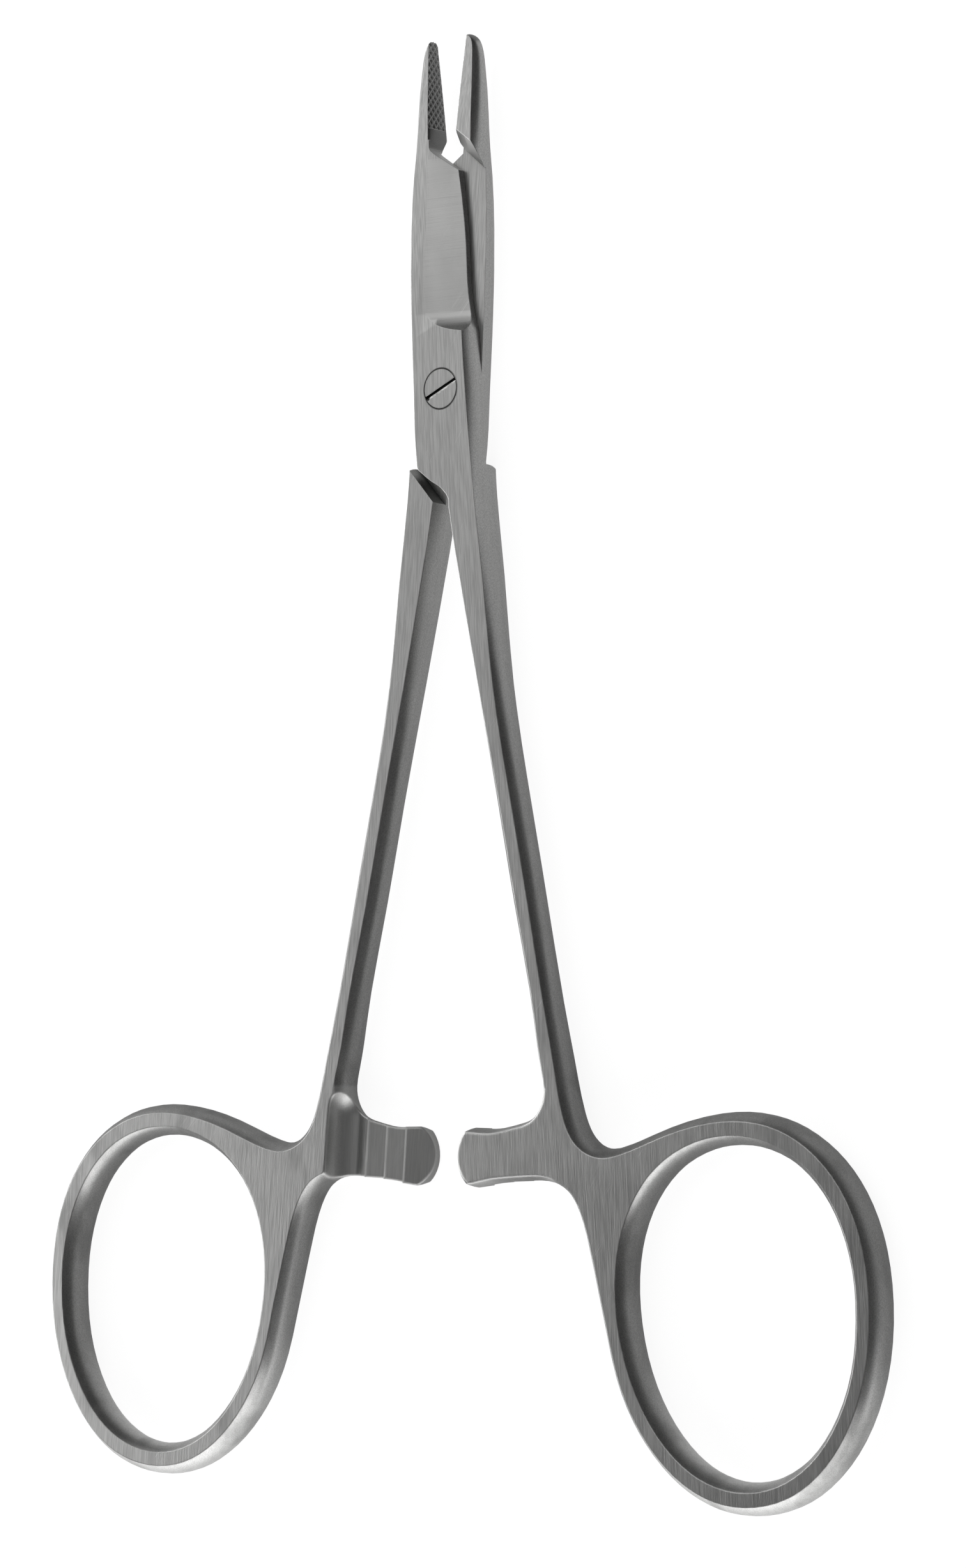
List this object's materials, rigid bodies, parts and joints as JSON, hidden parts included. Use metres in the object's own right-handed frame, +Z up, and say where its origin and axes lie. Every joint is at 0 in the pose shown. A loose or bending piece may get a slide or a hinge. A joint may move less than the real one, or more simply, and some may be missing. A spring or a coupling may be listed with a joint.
{
  "type": "surgical needle holder",
  "caption": "Ring-handled surgical needle holder with cross-cut jaws, scissor blades behind them, a slotted pivot screw and interlocking ratchet arms.",
  "frame": {"origin": "middle of the opened instrument's box, on the plane its back faces lie on", "axes": "+Y toward the jaw tips, along the middle of the opened instrument; +X to the right as the screw's slot is looked at; +Z up out of the face with the slot"},
  "size_m": [0.0978, 0.1374, 0.0039],
  "materials": {
    "arm_steel": "satin brushed stainless steel",
    "screw_steel": "turned and satin brushed stainless steel"
  },
  "bodies": {
    "back": {"back_arm": "arm_steel", "pivot_screw": "screw_steel"},
    "front": {"front_arm": "arm_steel"}
  },
  "joints": [
    {"name": "pivot", "type": "hinge", "parent": "back", "child": "front", "pos_m": [0, 0.03487, 0.00195], "axis": [0, 0, 1], "range_deg": [-7.2, 50]}
  ]
}
